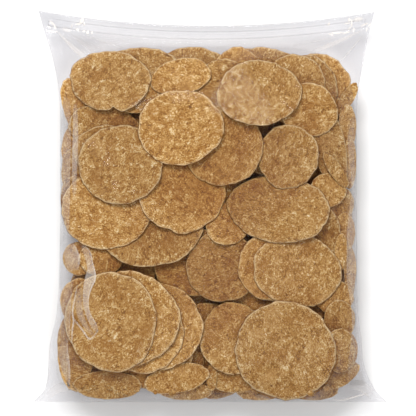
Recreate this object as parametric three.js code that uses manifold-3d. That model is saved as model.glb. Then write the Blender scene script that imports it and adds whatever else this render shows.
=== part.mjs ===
// A clear zip-top bag, sealed and packed full of round papads, lying on its back with the zip
// towards +Y. It is one closed solid: a flat-backed pillow of film drawn tight over the packed
// papads, with a thin web where the film lies double, the papads that press against the front, and
// the two rails of the zip.
// Millimetres, +Z up. The origin is on the surface that the bag lies on, below its middle.

import * as THREE from 'three';
import { mergeVertices } from 'three/addons/utils/BufferGeometryUtils.js';
import Module from 'manifold-3d';

// ---- Driving dimensions ----

const FOOT_Y = -147.7; // the folded foot of the bag
const MOUTH_Y = 147.7; // the mouth at its two corners
const MOUTH_SAG = 11.3; // how far the full bag pulls the middle of the mouth down
const MOUTH_HALF_WIDTH = 128;

// The side folds: [y, x], from the foot's flared tip to the corner of the mouth.
const LEFT_FOLD = [
  [-147.7, -133.4], [-137, -124.5], [-104, -121], [-80, -115.8], [-33, -113.6], [40, -113.4], [86, -114],
  [115, -119.5], [137, -126.7], [147.7, -129.7],
];
const RIGHT_FOLD = [
  [-147.7, 133.4], [-140, 125.5], [-121, 116.5], [-99, 114], [-78, 111.5], [-33, 110.9], [40, 110.5],
  [86, 111.5], [109, 115.2], [134, 120.3], [147.7, 124.6],
];

const SEAM_HEIGHT = 27; // of the side folds above the surface below
const SEAM_DROOP = 5; // how far the free film hangs at the mouth and at the foot's tips
const WEB_THICKNESS = 1.6;

// The packed contents, a rounded rectangle in plan.
const CONTENTS_X = -1.4;
const CONTENTS_Y = -13;
const CONTENTS_HALF_WIDTH = 112;
const CONTENTS_HALF_LENGTH = 134;
const CONTENTS_HEIGHT = 48; // below the papads on the front
const FOOT_CORNER_POWER = 8;
const MOUTH_CORNER_POWER = 5.5;
const FOOT_ROUNDING = 6; // high for a blunt end, low for a wedge
const MOUTH_ROUNDING = 3;
const BACK_ROUNDING = 8;
const BACK_FULLNESS = 1.3; // over 1, so that the back is pressed flat on the surface below
const BACK_FLAT_REACH = (1 - BACK_FULLNESS ** -2) ** (1 / BACK_ROUNDING); // where that flat ends

const PAPAD_THICKNESS = 1.6;
const FUSING_DEPTH = 0.5; // how far a papad sinks into what it rests on
const RIM_WAVER = 0.025; // of its radius
const BEND_SHARE = 0.6; // how much a papad follows the rounding of the front

const DOUBLE_FILM_BELOW_MOUTH = 11.5; // the film's two sides lie together from here to the mouth
const LEAST_SHARE_OF_WEB = 0.1; // of the way from the contents to the rim
const ZIP_RAIL_RADIUS = 1.3;
const ZIP_RAILS_BELOW_MOUTH = [5, 9.5];
const ZIP_END_GAP = 7;

const CELL = 2; // of the height grid on which the papads are laid
const MOST_ROUNDS = 24; // of the search for what carries a papad

// The papads that show on the front, deepest first: [x, y, half width, half height, turn in degrees].
const PAPADS = [
  // under the mouth
  [41, 97, 30, 23, 0], [-13, 97, 32, 23, 0], [-51, 97, 33, 23, 0], [21, 95, 20, 25, 0], [81, 88, 25, 27, -20],
  [103, 81, 14, 5, 58], [70, 88, 26, 26, 0], [62, 88, 24, 27, -20],
  // down the right side
  [77, -138, 20, 8, 0], [98, -127, 16, 8, 28], [103, 59, 7, 18, 0], [105, 33, 5, 20, 0], [105, -47, 5, 17, 0],
  [88, 48, 13, 35, 14], [98, 2, 10, 13, 0],
  [101, -19, 8, 15, 0], [88, 12, 14, 13, 0], [94, 27, 5, 16, 35], [81, -22, 17, 23, 0], [98, -34, 5, 14, 0],
  [93, -68, 15, 13, 0], [97, -85, 12, 15, 0], [103, -108, 8, 14, 0], [97, -108, 12, 17, 0],
  // down the left side
  [-101, 74, 10, 23, 18], [-102, 42, 10, 20, 0], [-100, 26, 12, 20, 0], [-100, 1, 12, 23, 8],
  [-79, 59, 28, 17, -8], [-98, -39, 13, 13, 0], [-82, -39, 17, 13, 0], [-99, -71, 14, 17, 0],
  [-101, -108, 14, 32, 0],
  // deep in the middle, and along the foot
  [-52, 81, 21, 11, 8], [-18, 30, 23, 17, 0], [-14, -42, 29, 26, 0], [-77, 41, 26, 20, 0],
  [9, 88, 20, 23, 0], [-45, -108, 32, 29, 0], [-77, -134, 26, 11, 0], [-18, -139, 20, 7, 0],
  [37, -138, 19, 8, 0], [18, -130, 18, 10, 0], [1, -128, 4, 11, 0], [-25, -129, 25, 11, 12],
  // against the film
  [17, -99, 25, 27, 0], [-38, -90, 33, 32, 0], [-51, -93, 32, 32, 0], [74, 72, 22, 20, -20],
  [-22, 97, 23, 14, 12], [9, -45, 27, 27, 0], [13, -13, 17, 16, 0], [47, -45, 26, 27, 0],
  [65, -48, 34, 27, -10], [51, -2, 39, 25, -6],
  [58, 37, 23, 24, 0], [-45, -16, 41, 29, 5], [-79, -4, 34, 28, -12], [-21, 12, 33, 32, 0],
  [-67, 31, 32, 30, 0], [10, 45, 30, 30, 0], [36, 85, 32, 25, 0], [-22, 59, 33, 28, 5],
  [-75, 94, 31, 23, -8], [-60, -84, 37, 36, 0], [-74, -86, 35, 38, 0], [56, -108, 38, 37, 0],
];

// ---- The bag's form ----

const { lerp, smoothstep, clamp, degToRad } = THREE.MathUtils;

// The x of a side fold at height y: a smooth curve through its points.
function foldAt(fold, y) {
  const last = fold.length - 1;
  let i = 0;
  while (i < last - 1 && y > fold[i + 1][0]) i += 1;
  const [y0, x0] = fold[i];
  const [y1, x1] = fold[i + 1];
  const slopeAt = (k) => {
    const a = fold[Math.max(k - 1, 0)];
    const b = fold[Math.min(k + 1, last)];
    return (b[1] - a[1]) / (b[0] - a[0]);
  };
  const t = clamp((y - y0) / (y1 - y0), 0, 1);
  const span = y1 - y0;
  return (2 * t ** 3 - 3 * t ** 2 + 1) * x0 + (t ** 3 - 2 * t ** 2 + t) * span * slopeAt(i)
    + (3 * t ** 2 - 2 * t ** 3) * x1 + (t ** 3 - t ** 2) * span * slopeAt(i + 1);
}

function mouthY(x) {
  return MOUTH_Y - MOUTH_SAG * (1 - Math.min(Math.abs(x) / MOUTH_HALF_WIDTH, 1) ** 2);
}

function seamHeight(x, y) {
  const towardsMouth = smoothstep(y, 95, MOUTH_Y);
  const towardsTip = smoothstep(-y, 105, -FOOT_Y) * smoothstep(Math.abs(x), 95, 133);
  return SEAM_HEIGHT - SEAM_DROOP * (towardsMouth + towardsTip);
}

// 0 in the middle of the contents and 1 on their outline.
function contentsReach(x, y) {
  const across = Math.abs(x - CONTENTS_X) / CONTENTS_HALF_WIDTH;
  const along = Math.abs(y - CONTENTS_Y) / CONTENTS_HALF_LENGTH;
  const power = y > CONTENTS_Y ? MOUTH_CORNER_POWER : FOOT_CORNER_POWER;
  return (across ** power + along ** power) ** (1 / power);
}

// The front of the packed papads, below those that show.
function coreHeight(x, y) {
  const reach = Math.min(contentsReach(x, y), 1);
  const rounding = lerp(FOOT_ROUNDING, MOUTH_ROUNDING, smoothstep(y, -60, 110));
  const seam = seamHeight(x, y);
  return seam + Math.max((CONTENTS_HEIGHT - seam) * Math.sqrt(1 - reach ** rounding), WEB_THICKNESS / 2);
}

// The part of a papad's form that follows the rounded front.
function bend(x, y) {
  const reach = Math.min(contentsReach(x, y), 1);
  const rounding = lerp(FOOT_ROUNDING, MOUTH_ROUNDING, smoothstep(y, -60, 110));
  return BEND_SHARE * (CONTENTS_HEIGHT - SEAM_HEIGHT) * (1 - reach ** rounding);
}

function backHeight(x, y) {
  const reach = Math.min(contentsReach(x, y), 1);
  const seam = seamHeight(x, y);
  const belly = BACK_FULLNESS * seam * Math.sqrt(1 - reach ** BACK_ROUNDING);
  return Math.max(seam - Math.max(belly, WEB_THICKNESS / 2), 0);
}

// ---- Meshes and solids ----

function geometryOf(points, triangles) {
  const geometry = new THREE.BufferGeometry();
  geometry.setAttribute('position', new THREE.Float32BufferAttribute(points.flat(), 3));
  geometry.setIndex(triangles.flat());
  return geometry;
}

// A point of the bag's plan. (s, t) lies on the edge of the square from -1 to 1. Out to reach 1 the
// point runs from the middle to the outline of the contents, and on to reach 2 to the bag's own outline.
function planPoint(s, t, reach) {
  const power = t > 0 ? MOUTH_CORNER_POWER : FOOT_CORNER_POWER;
  const size = (Math.abs(s) ** power + Math.abs(t) ** power) ** (1 / power) / Math.min(reach, 1);
  const inner = [
    CONTENTS_X + (CONTENTS_HALF_WIDTH * s) / size,
    CONTENTS_Y + (CONTENTS_HALF_LENGTH * t) / size,
  ];
  if (reach <= 1) return inner;
  const level = lerp(FOOT_Y, MOUTH_Y, (t + 1) / 2);
  const x = lerp(foldAt(LEFT_FOLD, level), foldAt(RIGHT_FOLD, level), (s + 1) / 2);
  const outer = [x, t === 1 ? mouthY(x) : level];
  return [lerp(inner[0], outer[0], reach - 1), lerp(inner[1], outer[1], reach - 1)];
}

// How far out, on the way to a point of the rim, the two sides of the film meet.
function meetingReach(s, t) {
  const [, innerY] = planPoint(s, t, 1);
  const [outerX, outerY] = planPoint(s, t, 2);
  const doubleFrom = mouthY(outerX) - DOUBLE_FILM_BELOW_MOUTH;
  const share = outerY > doubleFrom ? (doubleFrom - innerY) / (outerY - innerY) : 1;
  return 1 + Math.min(share, 1 - LEAST_SHARE_OF_WEB);
}

// Raises the points of a path, given from the middle outwards, to a film drawn tight over them.
function drawTight(path) {
  const along = path.map(([x, y]) => Math.hypot(x - path[0][0], y - path[0][1]));
  return path.map(([x, y, z], k) => {
    let height = z;
    for (let i = 0; i < k; i += 1) {
      for (let j = k + 1; j < path.length; j += 1) {
        const share = (along[k] - along[i]) / (along[j] - along[i]);
        height = Math.max(height, lerp(path[i][2], path[j][2], share));
      }
    }
    return [x, y, height];
  });
}

// The pillow: rings of points round the middle, for the front and for the back, joined round the rim.
// On the front the film is drawn tight out to where its two sides meet.
function pillowGeometry() {
  const perSide = 20;
  const frontRings = [0.4, 0.65, 0.8, 0.89, 0.945, 0.98, 1];
  const backRings = [2, 1.5, 1, 0.99, 0.965, 0.93, BACK_FLAT_REACH];
  const around = [];
  for (const [s0, t0, s1, t1] of [[-1, -1, 1, -1], [1, -1, 1, 1], [1, 1, -1, 1], [-1, 1, -1, -1]]) {
    for (let i = 0; i < perSide; i += 1) {
      const along = 0.5 - 0.5 * Math.cos((Math.PI * i) / perSide); // closer towards the corners
      around.push([lerp(s0, s1, along), lerp(t0, t1, along)]);
    }
  }
  const pathOf = ([s, t], reaches, heightAt) => reaches.map((reach) => {
    const [x, y] = planPoint(s, t, reach);
    return [x, y, heightAt(x, y)];
  });
  const paths = around.map((towards) => {
    const meeting = meetingReach(...towards);
    const front = pathOf(towards, [...frontRings, lerp(1, meeting, 0.4), meeting], coreHeight);
    const rim = pathOf(towards, [2], coreHeight);
    return [...drawTight(front), ...rim, ...pathOf(towards, backRings, backHeight)];
  });
  const ringCount = paths[0].length;
  const points = Array.from({ length: ringCount }, (_, ring) => paths.map((path) => path[ring])).flat();
  const count = around.length;
  const top = points.push([CONTENTS_X, CONTENTS_Y, coreHeight(CONTENTS_X, CONTENTS_Y)]) - 1;
  const bottom = points.push([CONTENTS_X, CONTENTS_Y, 0]) - 1;
  const lastRing = (ringCount - 1) * count;
  const triangles = [];
  for (let i = 0; i < count; i += 1) {
    const next = (i + 1) % count;
    triangles.push([top, i, next], [bottom, lastRing + next, lastRing + i]);
    for (let ring = 0; ring < lastRing; ring += count) {
      const outer = ring + count;
      triangles.push([ring + i, outer + i, outer + next], [ring + i, outer + next, ring + next]);
    }
  }
  return geometryOf(points, triangles);
}

// A papad's outline in plan, measured from its centre. Each wavers in its own way.
function papadOutline([, , halfWidth, halfHeight, turn], order) {
  const sides = Math.max(halfWidth, halfHeight) > 20 ? 17 : 11;
  const outline = [];
  for (let i = 0; i < sides; i += 1) {
    const angle = (2 * Math.PI * i) / sides;
    const waver = Math.sin(3 * angle + 2.4 * order) + 0.7 * Math.sin(5 * angle + 1.7 * order);
    const point = new THREE.Vector2(halfWidth * Math.cos(angle), halfHeight * Math.sin(angle));
    point.multiplyScalar(1 + RIM_WAVER * waver);
    outline.push(point.rotateAround(new THREE.Vector2(), degToRad(turn)));
  }
  return outline;
}

// A thin plate on the surface that a laid papad has: a plane that bends with the bag's front.
function plateGeometry([x, y], outline, plane) {
  const sides = outline.length;
  const rim = outline.map((p) => [p.x, p.y]);
  const points = [PAPAD_THICKNESS, -FUSING_DEPTH].flatMap((lift) => (
    [...rim, [0, 0]].map(([dx, dy]) => {
      const height = planeHeight(plane, dx, dy) + bend(x + dx, y + dy);
      return [x + dx, y + dy, height + lift];
    })
  ));
  const below = sides + 1;
  const triangles = [];
  for (let i = 0; i < sides; i += 1) {
    const next = (i + 1) % sides;
    triangles.push([sides, i, next], [below + sides, below + next, below + i]);
    triangles.push([i, below + i, below + next], [i, below + next, next]);
  }
  return geometryOf(points, triangles);
}

// A rail of the zip, which follows the mouth.
function zipRailGeometry(belowMouth) {
  const points = [];
  const spans = 14;
  const left = foldAt(LEFT_FOLD, MOUTH_Y) + ZIP_END_GAP;
  const right = foldAt(RIGHT_FOLD, MOUTH_Y) - ZIP_END_GAP;
  for (let i = 0; i <= spans; i += 1) {
    const x = lerp(left, right, i / spans);
    const y = mouthY(x) - belowMouth;
    points.push(new THREE.Vector3(x, y, seamHeight(x, y)));
  }
  const section = new THREE.Shape();
  section.absarc(0, 0, ZIP_RAIL_RADIUS, 0, 2 * Math.PI);
  return new THREE.ExtrudeGeometry(section, {
    extrudePath: new THREE.CatmullRomCurve3(points), steps: 2 * spans, curveSegments: 4, bevelEnabled: false,
  });
}

// ---- Laying the papads ----

// The plane z = level + slopeX dx + slopeY dy through three points [dx, dy, height].
function planeThrough(a, b, c) {
  const normal = new THREE.Vector3(b[0] - a[0], b[1] - a[1], b[2] - a[2])
    .cross(new THREE.Vector3(c[0] - a[0], c[1] - a[1], c[2] - a[2]));
  if (Math.abs(normal.z) < 1e-6) return null;
  const slopeX = -normal.x / normal.z;
  const slopeY = -normal.y / normal.z;
  return { level: a[2] - slopeX * a[0] - slopeY * a[1], slopeX, slopeY };
}

function planeHeight({ level, slopeX, slopeY }, dx, dy) {
  return level + slopeX * dx + slopeY * dy;
}

function overshoot([dx, dy, height], plane) {
  return height - planeHeight(plane, dx, dy);
}

function furthest(points, measure) {
  return points.reduce((best, point) => (measure(point) > measure(best) ? point : best));
}

// The plane that clears all the points and lies lowest over their middle. Three of them carry it:
// they are found by starting from the points at the rim and adding the one that sticks out most.
function restingPlane(points) {
  const carriers = [];
  for (let i = 0; i < 6; i += 1) {
    const angle = (2 * Math.PI * i) / 6;
    carriers.push(furthest(points, ([dx, dy]) => dx * Math.cos(angle) + dy * Math.sin(angle)));
  }
  for (let round = 0; ; round += 1) {
    let lowest = { level: Infinity };
    for (let i = 0; i < carriers.length; i += 1) {
      for (let j = i + 1; j < carriers.length; j += 1) {
        for (let k = j + 1; k < carriers.length; k += 1) {
          const plane = planeThrough(carriers[i], carriers[j], carriers[k]);
          if (plane) {
            plane.level += Math.max(...carriers.map((point) => overshoot(point, plane)));
            if (plane.level < lowest.level) lowest = plane;
          }
        }
      }
    }
    const worst = furthest(points, (point) => overshoot(point, lowest));
    if (overshoot(worst, lowest) < 1e-6 || round === MOST_ROUNDS) return lowest;
    carriers.push(worst);
  }
}

function isInside(outline, px, py) {
  let inside = false;
  for (let i = 0, j = outline.length - 1; i < outline.length; j = i, i += 1) {
    const a = outline[i];
    const b = outline[j];
    if (a.y > py !== b.y > py && px < a.x + ((py - a.y) / (b.y - a.y)) * (b.x - a.x)) inside = !inside;
  }
  return inside;
}

// Each papad is laid on those below it, on a grid that holds the height reached so far.
function layPapads() {
  const heights = new Map();
  const heightAt = (x, y) => heights.get(`${x},${y}`) ?? coreHeight(x, y);
  return PAPADS.map((papad, order) => {
    const outline = papadOutline(papad, order);
    const [x, y] = papad;
    const span = Math.max(papad[2], papad[3]) * (1 + 2 * RIM_WAVER);
    const cells = [];
    for (let cx = Math.ceil((x - span) / CELL) * CELL; cx <= x + span; cx += CELL) {
      for (let cy = Math.ceil((y - span) / CELL) * CELL; cy <= y + span; cy += CELL) {
        if (isInside(outline, cx - x, cy - y)) cells.push([cx - x, cy - y, heightAt(cx, cy) - bend(cx, cy)]);
      }
    }
    const plane = restingPlane(cells);
    for (const [dx, dy] of cells) {
      const height = planeHeight(plane, dx, dy) + bend(x + dx, y + dy) + PAPAD_THICKNESS;
      heights.set(`${x + dx},${y + dy}`, height);
    }
    return plateGeometry(papad, outline, plane);
  });
}

// ---- One solid ----

const wasm = await Module();
wasm.setup();

function solidOf(geometry) {
  geometry.deleteAttribute('normal');
  geometry.deleteAttribute('uv');
  const merged = mergeVertices(geometry, 1e-4);
  return new wasm.Manifold(new wasm.Mesh({
    numProp: 3,
    vertProperties: new Float32Array(merged.getAttribute('position').array),
    triVerts: new Uint32Array(merged.getIndex().array),
  }));
}

// The outer shell alone: a pocket that the papads seal is filled, and a loose scrap is dropped.
function outerShell(solid) {
  return solid.decompose().reduce((best, piece) => (piece.volume() > best.volume() ? piece : best));
}

function bagGeometry() {
  let bag = solidOf(pillowGeometry());
  for (const papad of layPapads()) bag = bag.add(solidOf(papad));
  for (const belowMouth of ZIP_RAILS_BELOW_MOUTH) bag = bag.add(solidOf(zipRailGeometry(belowMouth)));
  const { vertProperties, triVerts } = outerShell(bag).simplify(0.04).getMesh();
  const geometry = new THREE.BufferGeometry();
  geometry.setAttribute('position', new THREE.BufferAttribute(vertProperties, 3));
  geometry.setIndex(new THREE.BufferAttribute(triVerts, 1));
  geometry.computeVertexNormals();
  return geometry;
}

const papadBag = new THREE.Mesh(
  bagGeometry(),
  new THREE.MeshStandardMaterial({ color: 0xad8454, roughness: 0.45, metalness: 0 }),
);
papadBag.name = 'papad_bag';

const group = new THREE.Group();
group.add(papadBag);

export default group;
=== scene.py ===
"""A clear zip-top bag of papads, lying on its back under soft studio light.

The CAD solid gives the bag's outer form. Here it is replaced by what the real bag is made of: papads
laid one by one from the back of the bag to the front, the film drawn tight over them, and the zip.
Lengths are in millimetres until a mesh is made, +Z up, the zip towards +Y.
"""

import itertools
import math

import bpy
import numpy as np
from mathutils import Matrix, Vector
from mathutils.bvhtree import BVHTree


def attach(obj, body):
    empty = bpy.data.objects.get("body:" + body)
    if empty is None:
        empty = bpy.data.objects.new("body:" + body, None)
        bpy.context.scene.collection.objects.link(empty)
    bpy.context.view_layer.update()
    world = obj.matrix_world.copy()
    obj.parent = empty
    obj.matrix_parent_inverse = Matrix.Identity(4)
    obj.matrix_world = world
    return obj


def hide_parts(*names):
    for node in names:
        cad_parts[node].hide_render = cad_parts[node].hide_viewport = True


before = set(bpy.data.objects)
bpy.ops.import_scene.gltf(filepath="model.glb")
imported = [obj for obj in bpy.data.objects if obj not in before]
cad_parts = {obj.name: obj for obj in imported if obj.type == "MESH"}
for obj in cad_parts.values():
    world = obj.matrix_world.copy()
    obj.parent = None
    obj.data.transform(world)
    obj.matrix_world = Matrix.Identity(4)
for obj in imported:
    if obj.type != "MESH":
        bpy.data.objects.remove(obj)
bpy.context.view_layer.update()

MM = 0.001

# ---- the bag's form, as the solid has it

FOOT_Y = -147.7
MOUTH_Y = 147.7
MOUTH_SAG = 11.3
MOUTH_HALF_WIDTH = 128
LEFT_FOLD = [
    (-147.7, -133.4), (-137, -124.5), (-104, -121), (-80, -115.8), (-33, -113.6), (40, -113.4), (86, -114),
    (115, -119.5), (137, -126.7), (147.7, -129.7),
]
RIGHT_FOLD = [
    (-147.7, 133.4), (-140, 125.5), (-121, 116.5), (-99, 114), (-78, 111.5), (-33, 110.9), (40, 110.5),
    (86, 111.5), (109, 115.2), (134, 120.3), (147.7, 124.6),
]
SEAM_HEIGHT = 27
SEAM_DROOP = 5
CONTENTS_X = -1.4
CONTENTS_Y = -13
CONTENTS_HALF_WIDTH = 112
CONTENTS_HALF_LENGTH = 134
CONTENTS_HEIGHT = 48
FOOT_CORNER_POWER = 8
MOUTH_CORNER_POWER = 5.5
FOOT_ROUNDING = 6
MOUTH_ROUNDING = 3
BACK_ROUNDING = 8
BACK_FULLNESS = 1.3
BEND_SHARE = 0.6

# The papads that show on the front, deepest first: x, y, half width, half height, and a turn in degrees.
FRONT_PAPADS = [
    # under the mouth
    (41, 97, 30, 23), (-13, 97, 32, 23), (-51, 97, 33, 23), (21, 95, 20, 25),
    (81, 88, 25, 27, -20), (103, 81, 14, 5, 58), (70, 88, 26, 26), (62, 88, 24, 27, -20),
    # down the right side
    (77, -138, 20, 8), (98, -127, 16, 8, 28), (103, 59, 7, 18), (105, 33, 5, 20),
    (105, -47, 5, 17), (88, 48, 13, 35, 14), (98, 2, 10, 13), (101, -19, 8, 15),
    (88, 12, 14, 13), (94, 27, 5, 16, 35), (81, -22, 17, 23), (98, -34, 5, 14),
    (93, -68, 15, 13), (97, -85, 12, 15), (103, -108, 8, 14), (97, -108, 12, 17),
    # down the left side
    (-101, 74, 10, 23, 18), (-102, 42, 10, 20), (-100, 26, 12, 20), (-100, 1, 12, 23, 8),
    (-79, 59, 28, 17, -8), (-98, -39, 13, 13), (-82, -39, 17, 13), (-99, -71, 14, 17),
    (-101, -108, 14, 32),
    # deep in the middle, and along the foot
    (-52, 81, 21, 11, 8), (-18, 30, 23, 17), (-14, -42, 29, 26), (-77, 41, 26, 20),
    (9, 88, 20, 23), (-45, -108, 32, 29), (-77, -134, 26, 11), (-18, -139, 20, 7),
    (37, -138, 19, 8), (18, -130, 18, 10), (1, -128, 4, 11), (-25, -129, 25, 11, 12),
    # against the film
    (17, -99, 25, 27), (-38, -90, 33, 32), (-51, -93, 32, 32), (74, 72, 22, 20, -20),
    (-22, 97, 23, 14, 12), (9, -45, 27, 27), (13, -13, 17, 16), (47, -45, 26, 27),
    (65, -48, 34, 27, -10), (51, -2, 39, 25, -6), (58, 37, 23, 24), (-45, -16, 41, 29, 5),
    (-79, -4, 34, 28, -12), (-21, 12, 33, 32), (-67, 31, 32, 30), (10, 45, 30, 30),
    (36, 85, 32, 25), (-22, 59, 33, 28, 5), (-75, 94, 31, 23, -8), (-60, -84, 37, 36),
    (-74, -86, 35, 38), (56, -108, 38, 37),
]


def smoothstep(value, low, high):
    t = np.clip((value - low) / (high - low), 0, 1)
    return t * t * (3 - 2 * t)


def lerp(a, b, t):
    return a + (b - a) * t


def bell(distance, width):
    """1 in the middle, running out smoothly to both sides."""
    return np.exp(-((distance / width) ** 2))


def rotated(x, y, turn):
    """Offsets in plan, turned by an angle in radians."""
    c, s = math.cos(turn), math.sin(turn)
    return x * c - y * s, x * s + y * c


def on_curve(run, values, slopes, place):
    """Values at places of a run, on the smooth curve with the given values and slopes."""
    i = np.clip(np.searchsorted(run, place) - 1, 0, len(run) - 2)
    span = run[i + 1] - run[i]
    t = np.clip((place - run[i]) / span, 0, 1)
    return (
        (2 * t**3 - 3 * t**2 + 1) * values[i] + (t**3 - 2 * t**2 + t) * span * slopes[i]
        + (3 * t**2 - 2 * t**3) * values[i + 1] + (t**3 - t**2) * span * slopes[i + 1]
    )


def fold_at(fold, y):
    """The x of a side fold at y: a smooth curve through its points."""
    ys, xs = np.array(fold).T
    ends = np.diff(xs) / np.diff(ys)
    inner = (xs[2:] - xs[:-2]) / (ys[2:] - ys[:-2])
    return on_curve(ys, xs, np.concatenate([ends[:1], inner, ends[-1:]]), y)


def mouth_y(x):
    return MOUTH_Y - MOUTH_SAG * (1 - np.minimum(np.abs(x) / MOUTH_HALF_WIDTH, 1) ** 2)


def seam_height(x, y):
    towards_mouth = smoothstep(y, 95, MOUTH_Y)
    towards_tip = smoothstep(-y, 105, -FOOT_Y) * smoothstep(np.abs(x), 95, 133)
    return SEAM_HEIGHT - SEAM_DROOP * (towards_mouth + towards_tip)


def contents_reach(x, y):
    """0 in the middle of the contents and 1 on their outline."""
    across = np.abs(x - CONTENTS_X) / CONTENTS_HALF_WIDTH
    along = np.abs(y - CONTENTS_Y) / CONTENTS_HALF_LENGTH
    power = np.where(y > CONTENTS_Y, MOUTH_CORNER_POWER, FOOT_CORNER_POWER)
    return (across**power + along**power) ** (1 / power)


def front_rounding(y):
    return lerp(FOOT_ROUNDING, MOUTH_ROUNDING, smoothstep(y, -60, 110))


def core_height(x, y):
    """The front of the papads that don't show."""
    reach = np.minimum(contents_reach(x, y), 1)
    seam = seam_height(x, y)
    return seam + (CONTENTS_HEIGHT - seam) * np.sqrt(1 - reach ** front_rounding(y))


def front_bend(x, y):
    """The part of a papad's form that follows the rounded front."""
    reach = np.minimum(contents_reach(x, y), 1)
    return BEND_SHARE * (CONTENTS_HEIGHT - SEAM_HEIGHT) * (1 - reach ** front_rounding(y))


def back_height(x, y):
    reach = np.minimum(contents_reach(x, y), 1)
    seam = seam_height(x, y)
    return np.maximum(seam * (1 - BACK_FULLNESS * np.sqrt(1 - reach**BACK_ROUNDING)), 0)


# ---- laying the papads

FILM_CLEARANCE = 0.35  # between the film and the nearest papads
PAPAD_THICKNESS = 1.3
CELL = 1.0  # of the height grid
GRID_X = np.arange(-137, 138, CELL)
GRID_Y = np.arange(-151, 152, CELL)
CELL_X, CELL_Y = np.meshgrid(GRID_X, GRID_Y, indexing="ij")
SEED = 7

# Where the photograph looks deep between the papads: x, y, how far round.
DEEP_GAPS = [
    (-58, 70, 13), (-66, -46, 13), (-45, -46, 12), (-28, -48, 12), (-19, -58, 12), (-4, -65, 12),
    (13, -73, 11), (27, -77, 10), (64, 54, 11), (75, 42, 11), (30, 20, 8), (-100, -20, 7), (40, 62, 9),
]

# Features of single papads, by their place in FRONT_PAPADS. A curl is (angle, width, height), angles in
# degrees from +X; a dent in the outline is (angle, width, depth), its depth a share of the radius; a ridge
# or a flap is (x, y, turn, width, height) from the papad's middle.
CURLS = {
    49: [(-45, 26, 2.2)], 58: [(-60, 30, 2.5)], 62: [(160, 24, 1.8)], 61: [(120, 30, 2.0)],
    60: [(-95, 26, 1.8)], 66: [(190, 22, 1.4)], 52: [(20, 26, 1.5)], 47: [(40, 24, 1.6)],
    55: [(250, 22, 1.2)],
}
DENTS = {
    63: [(-78, 5, 0.16)], 61: [(150, 26, 0.07), (55, 10, 0.05)], 58: [(118, 8, 0.08)], 62: [(30, 20, 0.05)],
    59: [(-60, 24, 0.05)], 65: [(-10, 20, 0.04), (75, 16, 0.03)], 56: [(200, 18, 0.05)],
}
RIDGES = {
    61: [(-12, 12, 130, 1.8, 1.3)], 53: [(-22, 4, 75, 2.4, 1.1)], 64: [(14, -16, 35, 2.0, 0.8)],
    57: [(10, 8, 60, 2.2, 0.8)], 63: [(8, 2, 15, 2.6, 0.7)],
}
# How light a papad is, from -1 to 1, where the photograph shows it plainly.
TONES = {
    0: -0.7, 1: -0.8, 2: -0.9, 53: -0.3, 55: -0.7, 58: 0.5, 61: -0.7, 62: 0.7, 64: 0.2, 65: -0.5, 66: -1.0,
}

# What every papad has. Of its outline: how many lobes, and how far they stand out, as a share of the radius.
LOBES = [(2, 0.016), (3, 0.02), (5, 0.016), (8, 0.013), (13, 0.011), (19, 0.009), (28, 0.008)]
# Of its surface: how far it is out of flat, as a share of the radius. The film holds those that show flatter.
CUP, CUP_HIDDEN = 0.026, 0.05
SADDLE, SADDLE_HIDDEN = 0.03, 0.045
RUFFLE = 0.02
WAVES, WAVE_HEIGHT = 6, 0.16
CURL_FROM = 0.62  # a curl starts to lift at this share of the way out to the rim
RIDGE_LENGTH = 6  # times its width


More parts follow.
